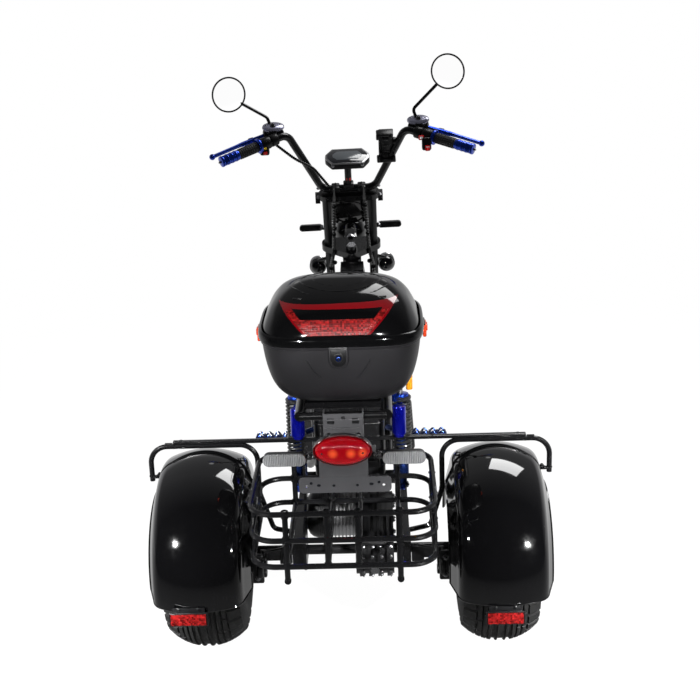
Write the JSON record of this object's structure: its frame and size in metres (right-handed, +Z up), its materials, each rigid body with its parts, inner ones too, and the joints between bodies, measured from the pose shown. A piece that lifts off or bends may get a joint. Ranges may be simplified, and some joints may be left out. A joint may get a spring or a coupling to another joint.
{
  "type": "three-wheeled electric scooter",
  "caption": "Open-framed electric scooter with a steered front wheel, wide rear wheels under fenders, rear basket, locking top trunk with hinged lid and sprung rear axle.",
  "frame": {"origin": "on the ground, under the middle of the scooter's overall box", "axes": "+Z up, +Y the way it drives, +X to the rider's right"},
  "size_m": [0.972, 1.8288, 1.3014],
  "materials": {
    "frame_paint": "gloss black powder coat",
    "satin_black": "satin black",
    "gloss_black": "high gloss black shell",
    "matte_grey": "grained dark grey plastic",
    "black_plastic": "moulded black plastic",
    "bracket_grey": "satin dark grey sheet",
    "tyre": "black rubber",
    "rim": "black alloy",
    "seat_cover": "black synthetic leather",
    "grip_rubber": "black ribbed rubber",
    "blue_anodised": "blue anodised",
    "raw_alloy": "brushed alloy",
    "spring_black": "black spring",
    "mirror_face": "mirror glass",
    "red_lens": "clear red lens",
    "red_reflector": "prismatic red",
    "clear_lens": "clear lens",
    "orange_plastic": "orange plastic"
  },
  "bodies": {
    "chassis": {"head_tube": "frame_paint", "frame_backbone": "frame_paint", "frame_rails": "frame_paint", "footboard": "frame_paint", "battery_case": "matte_grey", "seat_pan": "black_plastic", "seat_cushion": "seat_cover", "swingarm": "frame_paint", "axle_housing": "frame_paint", "gearbox": "satin_black", "motor": "raw_alloy", "shock_bodies": "blue_anodised", "shock_springs": "spring_black", "rack_bar": "frame_paint", "fender_hoops": "frame_paint", "fender_left": "gloss_black", "fender_right": "gloss_black", "fender_reflectors": "red_reflector", "basket_rear": "frame_paint", "basket_front": "frame_paint", "basket_left": "frame_paint", "basket_right": "frame_paint", "basket_floor": "frame_paint", "tail_bracket": "bracket_grey", "tail_light": "red_lens", "rear_signals": "clear_lens", "trunk_carrier": "frame_paint", "trunk_base": "matte_grey", "trunk_latches": "orange_plastic", "footpegs": "blue_anodised", "rear_calipers": "satin_black"},
    "steering": {"triple_clamps": "frame_paint", "fork_legs": "satin_black", "handlebar": "frame_paint", "grips": "grip_rubber", "brake_levers": "blue_anodised", "master_cylinders": "satin_black", "switchgear": "black_plastic", "mirror_arms": "frame_paint", "mirror_glass": "mirror_face", "display": "black_plastic", "phone_holder": "black_plastic", "fork_plate": "gloss_black", "front_signals": "black_plastic", "front_lamps": "black_plastic", "front_fender": "gloss_black", "front_caliper": "satin_black", "control_looms": "black_plastic"},
    "front_wheel": {"front_tyre": "tyre", "front_rim": "rim"},
    "rear_wheel_left": {"rear_tyre_left": "tyre", "rear_rim_left": "rim"},
    "rear_wheel_right": {"rear_tyre_right": "tyre", "rear_rim_right": "rim"},
    "lid": {"trunk_lid": "gloss_black", "lid_reflector": "red_reflector"}
  },
  "joints": [
    {"name": "steer", "type": "hinge", "parent": "chassis", "child": "steering", "pos_m": [0, 0.33959, 0.83], "axis": [0, -0.4384, 0.8988], "range_deg": [-37, 33]},
    {"name": "front_wheel_spin", "type": "hinge", "parent": "steering", "child": "front_wheel", "pos_m": [-0.00122, 0.67749, 0.21699], "axis": [0.9994, 0.0314, 0.0153], "continuous": true},
    {"name": "rear_wheel_left_spin", "type": "hinge", "parent": "chassis", "child": "rear_wheel_left", "pos_m": [-0.346, -0.59041, 0.223], "axis": [1, 0, 0], "continuous": true},
    {"name": "rear_wheel_right_spin", "type": "hinge", "parent": "chassis", "child": "rear_wheel_right", "pos_m": [0.346, -0.59041, 0.223], "axis": [1, 0, 0], "continuous": true},
    {"name": "lid_hinge", "type": "hinge", "parent": "chassis", "child": "lid", "pos_m": [0, -0.58441, 0.838], "axis": [-1, 0, 0], "range_deg": [0, 75]}
  ]
}
